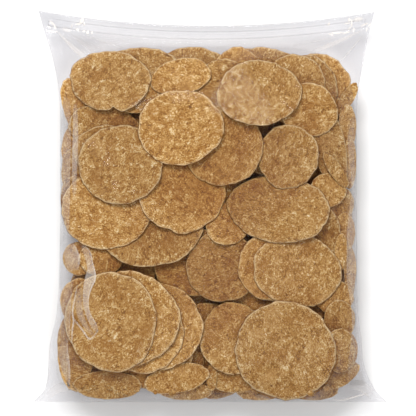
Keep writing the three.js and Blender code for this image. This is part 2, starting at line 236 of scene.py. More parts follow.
class Papad:
    """One papad: its outline in plan, its own unevenness, and, once laid, the plane it rests on."""

    def __init__(self, x, y, half_width, half_height, turn, rng, shows, place=None):
        self.x, self.y = x, y
        self.half_width, self.half_height = half_width, half_height
        self.turn = math.radians(turn)
        self.shows = shows
        size = min(half_width, half_height)
        draw = rng.uniform
        self.lobes = [(n, draw(0.3, 1) * amp, draw(0, math.tau)) for n, amp in LOBES]
        self.dents = [(draw(0, 360), draw(5, 15), draw(0.008, 0.03)) for _ in range(3)]
        self.dents += DENTS.get(place, [])
        self.cup = draw(-1, 1.2) * (CUP if shows else CUP_HIDDEN) * size
        self.saddle = draw(0.2, 1) * (SADDLE if shows else SADDLE_HIDDEN) * size
        self.saddle_turn = draw(0, math.tau)
        self.ruffle = draw(0.3, 1) * RUFFLE * size
        self.ruffle_count = rng.integers(5, 9)
        self.ruffle_turn = draw(0, math.tau)
        self.waves = [(draw(0.14, 0.5), draw(0, math.pi), draw(0, math.tau)) for _ in range(WAVES)]
        self.curls = [(draw(0, 360), draw(14, 30), draw(0.2, 0.9))]
        self.curls += CURLS.get(place, [])
        self.ridges = RIDGES.get(place, [])
        self.tone = TONES.get(place, draw(-1, 1))
        self.offset = draw(-500, 500, 2)
        self.pattern_turn = draw(0, math.tau)
        self.plane = np.zeros(3)
        self.bend = None

    def rim_reach(self, angle):
        reach = 1 + sum(amp * np.sin(n * angle + phase) for n, amp, phase in self.lobes)
        for place, width, depth in self.dents:
            reach = reach - depth * bell(turn_between(angle, place), width)
        return reach

    def to_plan(self, reach, angle):
        """Offsets in plan of the point at a share of the way out to the rim."""
        u = self.half_width * reach * self.rim_reach(angle) * np.cos(angle)
        v = self.half_height * reach * self.rim_reach(angle) * np.sin(angle)
        return rotated(u, v, self.turn)

    def from_plan(self, dx, dy):
        """The reach and angle of a point, from its offsets in plan."""
        u, v = rotated(dx, dy, -self.turn)
        u, v = u / self.half_width, v / self.half_height
        angle = np.arctan2(v, u)
        return np.hypot(u, v) / self.rim_reach(angle), angle

    def unevenness(self, reach, angle, dx, dy):
        height = self.cup * reach**2 + self.saddle * reach**2 * np.cos(2 * angle + self.saddle_turn)
        height = height + self.ruffle * reach**5 * np.sin(self.ruffle_count * angle + self.ruffle_turn)
        for frequency, direction, phase in self.waves:
            along = dx * math.cos(direction) + dy * math.sin(direction)
            height = height + WAVE_HEIGHT * np.sin(frequency * along + phase)
        for place, width, lift in self.curls:
            near = bell(turn_between(angle, place), width)
            height = height + lift * near * smoothstep(reach, CURL_FROM, 1.0) ** 2
        for x, y, turn, width, lift in self.ridges:
            along, across = rotated(dx - x, dy - y, -math.radians(turn))
            height = height + lift * np.exp(-((across / width) ** 2) - (along / (RIDGE_LENGTH * width)) ** 2)
        return height

    def underside(self, reach, angle):
        """Heights of the underside at points given by their reach and angle."""
        dx, dy = self.to_plan(reach, angle)
        level, slope_x, slope_y = self.plane
        height = level + slope_x * dx + slope_y * dy + self.unevenness(reach, angle, dx, dy)
        if self.bend is not None:
            height = height + self.bend(self.x + dx, self.y + dy)
        return height

    def cells(self):
        """The height grid's cells under the papad, as indices, with their offsets, reach and angle."""
        widest, just_outside = 1.08, 1.01  # as shares of the radius
        span = max(self.half_width, self.half_height) * widest
        ix = np.flatnonzero(np.abs(GRID_X - self.x) <= span)
        iy = np.flatnonzero(np.abs(GRID_Y - self.y) <= span)
        gx, gy = np.meshgrid(ix, iy, indexing="ij")
        gx, gy = gx.ravel(), gy.ravel()
        dx, dy = GRID_X[gx] - self.x, GRID_Y[gy] - self.y
        reach, angle = self.from_plan(dx, dy)
        inside = reach <= just_outside
        return [values[inside] for values in (gx, gy, dx, dy, reach, angle)]

    def rest(self, heights, bend=None):
        """Find how the papad rests on what is below it: its cells and the heights of its upper side."""
        self.bend = bend
        gx, gy, dx, dy, reach, angle = self.cells()
        own = self.unevenness(reach, angle, dx, dy)
        if bend is not None:
            own = own + bend(self.x + dx, self.y + dy)
        self.plane = resting_plane(dx, dy, heights[gx, gy] - own)
        level, slope_x, slope_y = self.plane
        return gx, gy, level + slope_x * dx + slope_y * dy + own + PAPAD_THICKNESS


def turn_between(angle, degrees):
    """How far an angle is from a place on the rim, in degrees, from 0 to 180."""
    return np.abs((np.degrees(angle) - degrees + 180) % 360 - 180)


def resting_plane(dx, dy, height):
    """The plane (level, slope x, slope y) that clears all the points and lies lowest over their middle.

    Three of the points carry it: they are found by starting from points at the rim and adding the one
    that sticks out most, until none does.
    """
    most_rounds = 24
    nothing = 1e-6
    carriers = [int(np.argmax(rotated(dx, dy, -math.pi * i / 3)[0])) for i in range(6)]
    rows = np.column_stack([np.ones(len(dx)), dx, dy])
    for _ in range(most_rounds):
        triples = np.array(list(itertools.combinations(carriers, 3)))
        matrices = rows[triples]
        sound = np.abs(np.linalg.det(matrices)) > nothing
        triples = triples[sound]
        planes = np.linalg.solve(matrices[sound], height[triples][..., None])[..., 0]
        overshoot = height[carriers] - planes @ rows[carriers].T
        planes[:, 0] += overshoot.max(axis=1)
        lowest = planes[np.argmin(planes[:, 0])]
        overshoot = height - rows @ lowest
        worst = int(np.argmax(overshoot))
        if overshoot[worst] < nothing:
            break
        carriers.append(worst)
    return lowest


def widest_reach(height):
    """How far out the bag's form lets the contents go at a height."""
    if height < SEAM_HEIGHT:
        return (1 - ((SEAM_HEIGHT - height) / (BACK_FULLNESS * SEAM_HEIGHT)) ** 2) ** (1 / BACK_ROUNDING)
    highest_share, mean_rounding = 0.95, 5
    share = min((height - SEAM_HEIGHT) / (CONTENTS_HEIGHT - SEAM_HEIGHT), highest_share)
    return (1 - share**2) ** (1 / mean_rounding)


def fit_inside(papad, height):
    """Move a papad towards the middle until its rim is inside the bag."""
    rim_points, most_steps, step = 16, 30, 0.05
    angle = np.linspace(0, math.tau, rim_points, endpoint=False)
    dx, dy = papad.to_plan(1.0, angle)
    limit = widest_reach(height)
    for _ in range(most_steps):
        if contents_reach(papad.x + dx, papad.y + dy).max() <= limit:
            return
        papad.x += step * (CONTENTS_X - papad.x)
        papad.y += step * (CONTENTS_Y - papad.y)


def room_below(x, y):
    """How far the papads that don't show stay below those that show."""
    deepest, elsewhere = 5, 1.6
    room = np.full_like(x, elsewhere)
    for gap_x, gap_y, radius in DEEP_GAPS:
        near = np.exp(-(((x - gap_x) ** 2 + (y - gap_y) ** 2) / radius**2))
        room = np.maximum(room, deepest * near)
    return room


def lay_hidden(rng, heights):
    """Fill the bag from the back to just under the papads that show, always where it is emptiest."""
    tries, choices = 1000, 6
    least_lack, most_excess, steepest = 0.8, 2.0, 0.45
    inset, rise = 20, 2  # from the sides, and of a papad over what is below its middle
    target = core_height(CELL_X, CELL_Y) - room_below(CELL_X, CELL_Y)
    papads = []
    for _ in range(tries):
        best, best_lack = None, least_lack
        for _ in range(choices):
            radius = rng.uniform(25, 36)
            stretch = rng.uniform(0.86, 1.0)
            x = CONTENTS_X + rng.uniform(-1, 1) * (CONTENTS_HALF_WIDTH - inset)
            y = CONTENTS_Y + rng.uniform(-1, 1) * (CONTENTS_HALF_LENGTH - inset)
            papad = Papad(x, y, radius, radius * stretch, rng.uniform(0, 180), rng, shows=False)
            below = heights[int((x - GRID_X[0]) / CELL), int((y - GRID_Y[0]) / CELL)]
            fit_inside(papad, below + rise)
            gx, gy = papad.cells()[:2]
            lack = (target[gx, gy] - heights[gx, gy]).mean()
            if lack > best_lack:
                best, best_lack = papad, lack
        if best is None:
            continue
        gx, gy, upper = best.rest(heights)
        excess = (upper - target[gx, gy]).max()
        if excess < most_excess and np.hypot(*best.plane[1:]) < steepest:
            heights[gx, gy] = upper
            papads.append(best)
    return papads


def lay_crumbs(rng, heights):
    """Broken bits: most slipped down to the foot of the bag, a few between the papads."""
    at_foot, in_gaps = 46, 26  # tries
    scatter = 4  # round the middle of a gap
    fewest_cells, widest, steepest = 5, 0.97, 1.2
    room_above = 3  # up to the papads that show
    crumbs = []
    for i in range(at_foot + in_gaps):
        if i < at_foot:
            x, y = rng.uniform(-98, 104), rng.uniform(-145, -134)
        else:
            gap_x, gap_y, _ = DEEP_GAPS[i % len(DEEP_GAPS)]
            x, y = rng.normal(gap_x, scatter), rng.normal(gap_y, scatter)
        size = rng.uniform(1.3, 2.8)
        crumb = Papad(x, y, size, size * rng.uniform(0.55, 1), rng.uniform(0, 180), rng, shows=False)
        if len(crumb.cells()[0]) < fewest_cells or contents_reach(x, y) > widest:
            continue
        gx, gy, upper = crumb.rest(heights)
        too_steep = np.hypot(*crumb.plane[1:]) > steepest
        on_a_papad = i >= at_foot and upper.max() > core_height(x, y) - room_above
        if not too_steep and not on_a_papad:
            heights[gx, gy] = upper
            crumbs.append(crumb)
    return crumbs


def lay_papads():
    """All the papads, the crumbs, and the height that they reach."""
    rng = np.random.default_rng(SEED)
    heights = back_height(CELL_X, CELL_Y) + FILM_CLEARANCE
    papads = lay_hidden(rng, heights)
    front = core_height(CELL_X, CELL_Y)
    reached = np.zeros_like(front, dtype=bool)
    for place, (x, y, half_width, half_height, *turn) in enumerate(FRONT_PAPADS):
        papad = Papad(x, y, half_width, half_height, sum(turn), rng, shows=True, place=place)
        gx, gy, upper = papad.rest(front, bend=front_bend)
        front[gx, gy] = upper
        reached[gx, gy] = True
        papads.append(papad)
    heights = np.where(reached, front, heights)
    crumbs = lay_crumbs(rng, heights)
    return papads, crumbs, heights


# ---- meshes

def new_mesh_object(name, points, faces):
    mesh = bpy.data.meshes.new(name)
    mesh.from_pydata((np.asarray(points) * MM).tolist(), [], faces)
    mesh.update()
    mesh.shade_smooth()
    piece = bpy.data.objects.new(name, mesh)
    bpy.context.scene.collection.objects.link(piece)
    return piece


def add_attributes(piece, **attributes):
    """Give the mesh's points a value each, or a vector each, under the given names."""
    for name, values in attributes.items():
        kind, field = ("FLOAT_VECTOR", "vector") if np.ndim(values) == 2 else ("FLOAT", "value")
        attribute = piece.data.attributes.new(name, kind, "POINT")
        attribute.data.foreach_set(field, np.asarray(values, dtype=np.float32).ravel())


def add_bake_map(piece, corners):
    layer = piece.data.uv_layers.new(name="OFBake")
    layer.data.foreach_set("uv", np.asarray(corners, dtype=np.float32).ravel())


def numbered(rows, columns):
    """A grid of point numbers."""
    return np.arange(rows * columns).reshape(rows, columns)


def grid_places(across, along):
    """The places of a grid's points, from its two rows of values."""
    return np.stack(np.meshgrid(across, along, indexing="ij"), axis=-1).reshape(-1, 2)


def grid_faces(index):
    """Quads over a grid of point numbers."""
    quads = np.stack([index[:-1, :-1], index[1:, :-1], index[1:, 1:], index[:-1, 1:]], axis=-1)
    return quads.reshape(-1, 4)


EDGE_REACH = 0.975  # where a papad's rim starts to round off
FRONT_LARGE = (64, 15, 3)  # segments, rings on top, rings underneath
FRONT_SMALL = (40, 9, 2)
HIDDEN = (26, 4, 3)
CRUMB = (9, 2, 1)


def papad_mesh(papad, detail):
    """The points, faces, pattern coordinates and rim closeness of one papad, and its charts.

    A chart is the plan of one side, as a disc; each face lies in chart 0, the top, or chart 1.
    """
    segments, top_rings, under_rings = detail
    angle = np.linspace(0, math.tau, segments, endpoint=False)
    top_reaches = [EDGE_REACH * (k / top_rings) ** 0.85 for k in range(1, top_rings + 1)]
    under_reaches = [EDGE_REACH * k / under_rings for k in range(under_rings, 0, -1)]
    levels = [(reach, 1.0) for reach in top_reaches] + [(1.0, 0.5)]
    levels += [(reach, 0.0) for reach in under_reaches]
    ring_reach, ring_lift = np.array(levels).T
    reach = np.append(np.repeat(ring_reach, segments), [0, 0])
    lift = np.append(np.repeat(ring_lift, segments), [1, 0])
    around = np.append(np.tile(angle, len(levels)), [0, 0])
    dx, dy = papad.to_plan(reach, around)
    height = papad.underside(reach, around) + PAPAD_THICKNESS * lift
    points = np.column_stack([papad.x + dx, papad.y + dy, height])
    other_side = 1000  # so that the two sides don't share a pattern
    across, along = rotated(dx, dy, papad.pattern_turn)
    across = across + papad.offset[0] + other_side * (lift < 0.5)
    pattern = np.column_stack([across, along + papad.offset[1], np.zeros_like(dx)])
    disc = np.column_stack([reach * np.cos(around), reach * np.sin(around)])
    top_centre, under_centre = len(points) - 2, len(points) - 1
    pairs = [(i, (i + 1) % segments) for i in range(segments)]
    faces = [(top_centre, i, ahead) for i, ahead in pairs]
    charts = [0] * segments
    for level in range(len(levels) - 1):
        inner, outer = level * segments, (level + 1) * segments
        faces += [(inner + i, outer + i, outer + ahead, inner + ahead) for i, ahead in pairs]
        charts += [0 if level < top_rings else 1] * segments
    last = (len(levels) - 1) * segments
    faces += [(under_centre, last + ahead, last + i) for i, ahead in pairs]
    charts += [1] * segments
    rim = reach + 4 * lift * (1 - lift)  # one more half-way down the wall of the rim
    return points, faces, pattern, rim, disc, charts


def chart_places(papads):
    """The square of the bake map that each side of each papad gets: (x, y, size) in cells."""
    across, double_rows = 27, 12
    double = [(column, row, 2) for row in range(0, double_rows, 2) for column in range(0, across - 1, 2)]
    single = [(column, row, 1) for row in range(double_rows, across) for column in range(across)]
    return across, [((double if papad.shows else single).pop(0), single.pop(0)) for papad in papads]


def make_papads(name, papads, detail_of, ceiling):
    """One mesh of papads. The ceiling gives the height of the front film over points."""
    radius = 0.47  # of a chart in its square
    across, places = chart_places(papads)
    parts, faces, corners = [], [], []
    base = 0
    for papad, place in zip(papads, places):
        points, own_faces, pattern, rim, disc, charts = papad_mesh(papad, detail_of(papad))
        parts.append((points, pattern, rim, np.full(len(points), papad.tone)))
        for face, chart in zip(own_faces, charts):
            column, row, size = place[chart]
            faces.append(tuple(base + k for k in face))
            for k in face:
                u = (column + size * (0.5 + radius * disc[k, 0])) / across
                v = (row + size * (0.5 + radius * disc[k, 1])) / across
                corners.append((u, v))
        base += len(points)
    points, pattern, rim, tone = (np.concatenate(kind) for kind in zip(*parts))
    piece = new_mesh_object(name, points, faces)
    # How deep each point lies inside the bag, from the nearer film; the material paints shade by it.
    below_front = ceiling(points) - points[:, 2]
    above_back = points[:, 2] - back_height(points[:, 0], points[:, 1])
    depth = np.maximum(np.minimum(below_front, above_back), 0)
    add_attributes(piece, pattern=pattern, rim=rim, tone=tone, depth=depth)
    add_bake_map(piece, corners)
    return piece


# ---- the film

FILM_COLUMNS = 190
FILM_ROWS = 210
DOUBLE_FILM_BELOW_MOUTH = 11.5  # the film's two sides lie together from here to the mouth
HALF_GAP = 0.25  # between them

# Creases: from (x, y) to (x, y), how wide, how high. The first ones fan out from the ends of the zip.
CREASES = [
    (-116, 132, -95, 112, 1.7, 1.2), (-112, 129, -98, 117, 1.2, 0.7), (-94, 129, -66, 119, 1.5, 0.8),
    (-117, 128, -107, 96, 1.4, 0.8), (-104, 130, -84, 118, 1.3, 0.7), (-118, 122, -112, 84, 1.2, 0.6),
    (117, 134, 74, 115, 1.8, 1.3), (117, 131, 95, 108, 1.5, 1.1), (118, 128, 106, 92, 1.4, 0.8),
    (112, 134, 60, 121, 1.3, 0.7), (117, 124, 111, 84, 1.2, 0.6), (98, 130, 82, 120, 1.2, 0.6),
    (40, 128, 20, 121, 1.6, 0.5), (-30, 128, -10, 122, 1.6, 0.5), (70, 130, 48, 122, 1.4, 0.5),
    (-131, -147, -112, -120, 1.5, 0.9), (-131, -147, -106, -141, 1.4, 0.8),
    (-129, -140, -116, -104, 1.2, 0.7), (131, -147, 111, -120, 1.5, 0.9),
    (131, -147, 96, -145, 1.5, 1.1), (128, -139, 114, -100, 1.2, 0.7),
    (-112, 60, -101, 52, 1.1, 0.6), (-112, 34, -102, 40, 1.0, 0.5), (-112, 8, -101, 2, 1.1, 0.6),
    (-112, -26, -100, -20, 1.1, 0.6), (-113, -60, -102, -66, 1.1, 0.6), (-117, -88, -105, -82, 1.1, 0.6),
    (109, 62, 100, 50, 1.1, 0.7), (109, 30, 101, 38, 1.0, 0.6), (109, 10, 102, -2, 1.0, 0.6),
    (109, -30, 100, -24, 1.1, 0.7), (109, -62, 99, -56, 1.1, 0.7), (112, -90, 101, -98, 1.2, 0.7),
]


def film_plan():
    """A grid over the bag's plan, closer towards the folds."""
    crowding, sag_from = 0.6, 0.55

    def spread(count):
        t = np.linspace(0, 1, count + 1)
        return lerp(t, 0.5 - 0.5 * np.cos(math.pi * t), crowding)

    s, v = np.meshgrid(spread(FILM_COLUMNS), spread(FILM_ROWS), indexing="ij")
    level = lerp(FOOT_Y, MOUTH_Y, v)
    x = lerp(fold_at(LEFT_FOLD, level), fold_at(RIGHT_FOLD, level), s)
    y = level - (MOUTH_Y - mouth_y(x)) * smoothstep(v, sag_from, 1)
    return x, y


def sample(grid, x, y):
    """Values of a height grid between its cells."""
    fx = np.clip((x - GRID_X[0]) / CELL, 0, len(GRID_X) - 1.001)
    fy = np.clip((y - GRID_Y[0]) / CELL, 0, len(GRID_Y) - 1.001)
    ix, iy = fx.astype(int), fy.astype(int)
    tx, ty = fx - ix, fy - iy
    return lerp(
        lerp(grid[ix, iy], grid[ix + 1, iy], tx), lerp(grid[ix, iy + 1], grid[ix + 1, iy + 1], tx), ty
    )


def widened(heights):
    """The heights, with each cell raised to the highest of its neighbours."""
    for axis in (0, 1):
        heights = np.maximum.reduce([heights, np.roll(heights, 1, axis), np.roll(heights, -1, axis)])
    return heights


def draw_tight(x, y, obstacle, held, held_height):
    """The height of a film that is held in places and drawn tight over an obstacle."""
    rounds, over = 700, 1.7  # of relaxation, each going further than the mean of the neighbours
    least_gap = 0.15
    film = np.where(held, held_height, obstacle)
    west, east = np.abs(x[1:-1] - x[:-2])[:, 1:-1], np.abs(x[2:] - x[1:-1])[:, 1:-1]
    south, north = np.abs(y[:, 1:-1] - y[:, :-2])[1:-1], np.abs(y[:, 2:] - y[:, 1:-1])[1:-1]
    west, east, south, north = (np.maximum(gap, least_gap) for gap in (west, east, south, north))
    pull_w, pull_e = 1 / (west * (west + east)), 1 / (east * (west + east))
    pull_s, pull_n = 1 / (south * (south + north)), 1 / (north * (south + north))
    total = pull_w + pull_e + pull_s + pull_n
    free = ~held[1:-1, 1:-1]
    i, j = np.indices(free.shape)
    colours = [((i + j) % 2 == parity) & free for parity in (0, 1)]
    for _ in range(rounds):
        for colour in colours:
            mean = (
                pull_w * film[:-2, 1:-1] + pull_e * film[2:, 1:-1]
                + pull_s * film[1:-1, :-2] + pull_n * film[1:-1, 2:]
            ) / total
            inner = film[1:-1, 1:-1]
            moved = np.maximum(inner + over * (mean - inner), obstacle[1:-1, 1:-1])
            inner[colour] = moved[colour]
    return film


def crease_height(x, y):
    """The sharp ridges of the creases, which run out at both ends."""
    height = np.zeros_like(x)
    for x0, y0, x1, y1, width, lift in CREASES:
        along, across = rotated(x - x0, y - y0, -math.atan2(y1 - y0, x1 - x0))
        along = along / math.hypot(x1 - x0, y1 - y0)
        ends = np.clip(along, 0, 1) * np.clip(1 - along, 0, 1) * 4
        height = height + lift * np.sqrt(ends) * np.exp(-np.abs(across) / width)
    return height


def film_milk(points):
    """How whitish the film is: cloudy along its welded edges, and where it bunches at the sides, with painted
    highlights in streaks.
    """
    edge_milk, edge_width = 0.12, 0.7
    bunch_milk, streak_milk, bunch_width = 0.07, 0.16, 6.5
    bunch_ends_y = 60, 105
    x, y = points[:, 0], points[:, 1]
    from_side = np.minimum(x - fold_at(LEFT_FOLD, y), fold_at(RIGHT_FOLD, y) - x)
    from_end = np.minimum(mouth_y(x) - y, y - FOOT_Y)
    edge = bell(np.minimum(from_side, from_end), edge_width)
    bunched = bell(from_side, bunch_width) * (1 - smoothstep(y, *bunch_ends_y))
    wander = 0.035 * y + 1.3 * np.sin(0.06 * y)
    streaks = 0.5 + 0.5 * np.sin(1.9 * from_side + wander)
    return edge_milk * edge + bunched * (bunch_milk + streak_milk * streaks)


def film_veil(points):
    """How grey the clear film looks: most where it lies double at the mouth, least beside the contents, where
    it is lightened as painted light against the shade they cast.
    """
    mouth_veil, mouth_width = 0.7, 3.5
    corner_veil, corner_x, corner_depth = 0.9, (88, 122), (6, 17)
    # Painted light: how much and where the film beside the upper contents is lightened against their shade.
    painted_lightening, lightening_reach, lightening_width, lightening_y = 0.8, 1.01, 0.04, (60, 100)
    x, y = points[:, 0], points[:, 1]
    from_mouth = mouth_y(x) - y
    at_mouth = mouth_veil * bell(from_mouth, mouth_width)
    at_corner = smoothstep(np.abs(x), *corner_x) * (1 - smoothstep(from_mouth, *corner_depth))
    beside = bell(contents_reach(x, y) - lightening_reach, lightening_width) * smoothstep(y, *lightening_y)
    return np.maximum(at_mouth, corner_veil * at_corner) - painted_lightening * beside


def make_film(heights):
    """The film, and a function that gives the height of its front."""
    held_share = 0.25  # of a crease, where the film lies on the papads
    half_width, half_length = 135, 150  # that the bake map takes in
    x, y = film_plan()
    seam = seam_height(x, y)
    inside = contents_reach(x, y) < 1
    reached = sample(widened(heights), x, y) + FILM_CLEARANCE
    obstacle = np.where(inside, np.maximum(reached, seam), seam + HALF_GAP)
    rim = np.zeros_like(inside)
    rim[0] = rim[-1] = rim[:, 0] = rim[:, -1] = True
    double = y > mouth_y(x) - DOUBLE_FILM_BELOW_MOUTH
    front = draw_tight(x, y, obstacle, rim | double, np.where(rim, seam, seam + HALF_GAP))
    free = smoothstep(front - obstacle, 0.2, 2.5)
    front = front + crease_height(x, y) * lerp(held_share, 1, free) * ~(rim | double)
    back = np.minimum(back_height(x, y), seam - HALF_GAP)
    back[rim] = seam[rim]
    index = numbered(*x.shape)
    under = np.where(rim, index, index + x.size)
    points = np.vstack([np.column_stack([x.ravel(), y.ravel(), z.ravel()]) for z in (front, back)])
    front_faces = grid_faces(index)
    faces = np.vstack([front_faces, grid_faces(under)[:, ::-1]])
    used = np.unique(faces)
    renumber = np.full(len(points), -1)
    renumber[used] = np.arange(len(used))
    piece = new_mesh_object("bag_film", points[used], renumber[faces].tolist())
    add_attributes(piece, milk=film_milk(points[used]), veil=film_veil(points[used]))
    # The front lies in the left half of the bake map, and the back in the right half.
    shares = (x.ravel() + half_width) / (2 * half_width), (y.ravel() + half_length) / (2 * half_length)
    front_chart = np.column_stack(shares) * (0.5, 1)
    back_chart = front_chart + (0.5, 0)
    back_faces = front_faces[:, ::-1]
    add_bake_map(piece, np.vstack([front_chart[front_faces.ravel()], back_chart[back_faces.ravel()]]))
    tree = BVHTree.FromPolygons(points[: x.size].tolist(), front_faces.tolist())

    def film_above(places):
        """The height of the front film over places, or of the seam outside it."""
        found = []
        for place in places:
            hit = tree.ray_cast((place[0], place[1], 200), (0, 0, -1))[0]
            found.append(hit.z if hit else seam_height(place[0], place[1]))
        return np.array(found, dtype=float)

    return piece, film_above


# ---- pleats and marks in the film

# Pleats: the two edges, each through its points; how milky the doubled film is in its middle and along
# each of its edges, partly its own haze and partly painted highlight on the folds; and how much it stands
# up along its edges.
PLEATS = [
    # the folded loop at the left
    ([(-96.8, -29.7), (-93.5, -39.1), (-91.9, -46.5), (-93.5, -53), (-95.1, -62.1), (-94.8, -73.6),
      (-92.7, -81.7), (-87.8, -91.5), (-85.2, -94.1)],
     [(-95, -28.9), (-90.4, -32.2), (-87.4, -42.4), (-85.3, -53.9), (-88.6, -61.6), (-90.8, -70),
      (-89.3, -80.1), (-84.8, -87.7), (-83.4, -93)], 0.5, 0.45, 1.2, 0.5),
    ([(-83.2, -92.4), (-86, -96.6), (-89.4, -99.6), (-95.9, -92.8), (-103.3, -83.6)],
     [(-84.2, -91.8), (-86.4, -95.2), (-89.3, -98), (-95, -91.6), (-102.5, -82.8)], 0.6, 0.4, 0.4, 0.5),
    ([(-100.5, -63), (-101, -72), (-99.8, -81), (-95, -89.5), (-89.4, -96.8)],
     [(-95.6, -60), (-95.6, -72), (-94, -82), (-89, -91.5), (-85.6, -94.8)], 0.3, 0.1, 0.1, 0.2),
    ([(-99.7, -58.6), (-102.2, -70.3), (-103.7, -80.1), (-102.9, -85.1), (-103.7, -91.5), (-104.1, -102.2)],
     [(-98.9, -58.4), (-100.9, -70.3), (-102.3, -80.1), (-101.5, -85.1), (-102.3, -91.5), (-103.1, -102.2)],
     0.7, 0.8, 0.8, 0.5),
    ([(-110.7, -28.4), (-110.1, -34.5), (-108.9, -42), (-107.8, -49.6)],
     [(-102.5, -26.9), (-99.1, -33), (-97.2, -39), (-98.8, -47.3)], 0.4, 0.2, 0.7, 0.4),
    ([(-109.5, -58), (-109.8, -72), (-110.8, -86), (-112.7, -101)],
     [(-103, -57), (-104, -72), (-104.6, -86), (-105.2, -101)], 0.22, 0.1, 0.4, 0.2),
    ([(-112.7, -100.9), (-115, -112.2), (-115.7, -123.6), (-113.5, -134.1)],
     [(-106.7, -99.4), (-106.3, -107.7), (-104.9, -124.3), (-105.4, -135.6)], 0.34, 0.1, 0.85, 0.4),
    # the bright band above it
    ([(-102.5, 76.5), (-102.9, 57.6), (-103.3, 35), (-102.9, 8.6)],
     [(-99.9, 76.5), (-98.8, 57.6), (-99.1, 35), (-100.6, 8.6)], 0.45, 0.5, 0.3, 0.3),
    ([(-111.5, 84), (-110.5, 60), (-110.8, 30), (-110.5, -4), (-110.6, -26)],
     [(-105.5, 80), (-104.6, 60), (-104.8, 30), (-105.2, -4), (-106, -24)], 0.25, 0.1, 0.35, 0.2),
    # down the right side
    ([(105.5, 66.7), (103.2, 50.1), (104, 35), (106.2, 16.1), (104.7, 1), (102.5, -17.1), (102.1, -37.5),
      (102.8, -58.6), (105.5, -74.5), (106.2, -93.4), (104, -112.2), (102.5, -134.9)],
     [(108.5, 66.7), (108.1, 50.1), (108.5, 35), (108.9, 16.1), (108.9, 1), (108.9, -17.1), (109.2, -37.5),
      (109.6, -58.6), (110.8, -74.5), (112.3, -93.4), (113.8, -112.2), (116.8, -134.9)], 0.3, 0.3, 0.1, 0.3),
    # the fans at the ends of the zip
    ([(-116.2, 132.4), (-106, 120.5), (-95.6, 110.4)], [(-115.2, 132.8), (-103, 121.8), (-90.5, 112.5)],
     0.5, 0.9, 0.1, 0.3),
    ([(-106, 130.5), (-96, 121.5), (-86, 115.5)], [(-105, 131), (-93, 124), (-80, 118)],
     0.2, 0.35, 0.05, 0.2),
    ([(-95, 129), (-80, 123.5), (-67, 118)], [(-94.5, 129.6), (-79, 125), (-65, 119.8)], 0.25, 0.4, 0.1, 0.2),
    ([(116.2, 133.4), (97, 123), (75, 113.4)], [(116.8, 134.3), (98, 126.5), (77, 117.8)],
     0.55, 0.5, 0.85, 0.3),
    ([(116, 130.5), (106, 119), (95.8, 107)], [(117, 131.4), (109, 121), (99, 109)], 0.4, 0.85, 0.1, 0.3),
    ([(112, 134.6), (88, 126), (62, 120.4)], [(112.4, 135.2), (89, 127.6), (63, 122)], 0.2, 0.35, 0.1, 0.2),
    # the tips at the foot
    ([(91.9, -145.1), (97.2, -146.8), (108, -144.4), (119.1, -141.4)],
     [(91.7, -144.1), (97, -145.4), (108, -143), (119.1, -140.4)], 0.85, 0.9, 0.9, 0.4),
    ([(104, -137), (112, -139), (121, -145.6)], [(106, -131), (114, -131), (124, -139)], 0.25, 0.5, 0.3, 0.3),
    ([(-122, -146), (-114, -140.6), (-104, -138.4)], [(-124, -141), (-116, -134), (-107, -131.6)],
     0.25, 0.5, 0.3, 0.3),
]

# Marks where the ends of the zip are welded and crushed: x, y, half length, half width, turn, milkiness.
WELDS = [
    (-97, 140.4, 2.2, 1.5, 62, 0.9), (-99.4, 138, 3.2, 0.9, 12, 0.9), (-95.2, 137.7, 1.4, 0.8, 80, 0.8),
    (-100.2, 133.6, 1.6, 1, -20, 0.95), (-95.4, 132.4, 1.2, 0.9, 0, 0.85), (-92.6, 131.6, 1.6, 1.1, 70, 0.9),
    (-89.4, 131.4, 1.3, 0.7, 80, 0.8), (-119.6, 138.6, 2.6, 0.9, -40, 0.8), (-117.6, 136, 2.6, 0.7, -65, 0.9),
    (-119.5, 132.2, 4.6, 0.6, -3, 0.8), (-121.8, 135.6, 1.8, 0.7, -30, 0.6),
    (-104.6, 136.4, 1.8, 0.6, 80, 0.5),
    (105.2, 141, 1.5, 0.9, 85, 0.95), (106.9, 138.6, 3.4, 0.7, 88, 0.85), (108.4, 133.2, 2.2, 0.7, 80, 0.7),
    (103.6, 138.4, 2.6, 0.6, 8, 0.8), (105.2, 134.6, 1.6, 0.7, 50, 0.7), (89.7, 137.8, 1.6, 0.7, 60, 0.85),
    (95.6, 131.2, 4.4, 0.8, 2, 0.95), (102.8, 131.4, 3.2, 0.6, 14, 0.9), (91.2, 129.9, 2.2, 0.7, -20, 0.7),
    (116.5, 137.4, 3.4, 0.6, 24, 0.85), (120.6, 137.2, 1.8, 0.6, 50, 0.9), (118.3, 133.8, 1.8, 0.6, 78, 0.7),
    (111.6, 141.4, 4.2, 2.0, 12, 0.35), (-108.5, 133.5, 3.6, 2.2, -15, 0.2),
]
FOLD_GRID = (40, 9)  # points along a pleat or a mark, and across it
WELD_WHITENESS = 2.7  # of a weld mark beside a pleat


def through(points, count):
    """Evenly spaced points of a smooth curve through the given ones."""
    points = np.array(points, dtype=float)
    run = np.append(0, np.cumsum(np.hypot(*np.diff(points, axis=0).T)))
    place = np.linspace(0, run[-1], count)
    return np.column_stack([on_curve(run, axis, np.gradient(axis, run), place) for axis in points.T])


def pleat_sheet(first, second, body, first_edge, second_edge, stand, film_above):
    """A strip of doubled film that lies on the film: its points, and how milky each is, partly haze and
    partly painted highlight.
    """
    count, across = FOLD_GRID
    edge_width, clearance = 0.13, 0.12
    left, right = through(first, count), through(second, count)
    t = np.linspace(0, 1, across)
    plan = lerp(left[:, None], right[:, None], t[None, :, None]).reshape(-1, 2)
    ends = np.sin(math.pi * np.linspace(0.04, 0.96, count)) ** 0.6
    edges = first_edge * bell(t, edge_width) + second_edge * bell(1 - t, edge_width)
    milk = np.outer(ends, body * np.sin(math.pi * t) ** 0.5 + edges)
    z = film_above(plan) + np.outer(ends, clearance + stand * edges).ravel()
    return np.column_stack([plan, z]), milk.ravel()


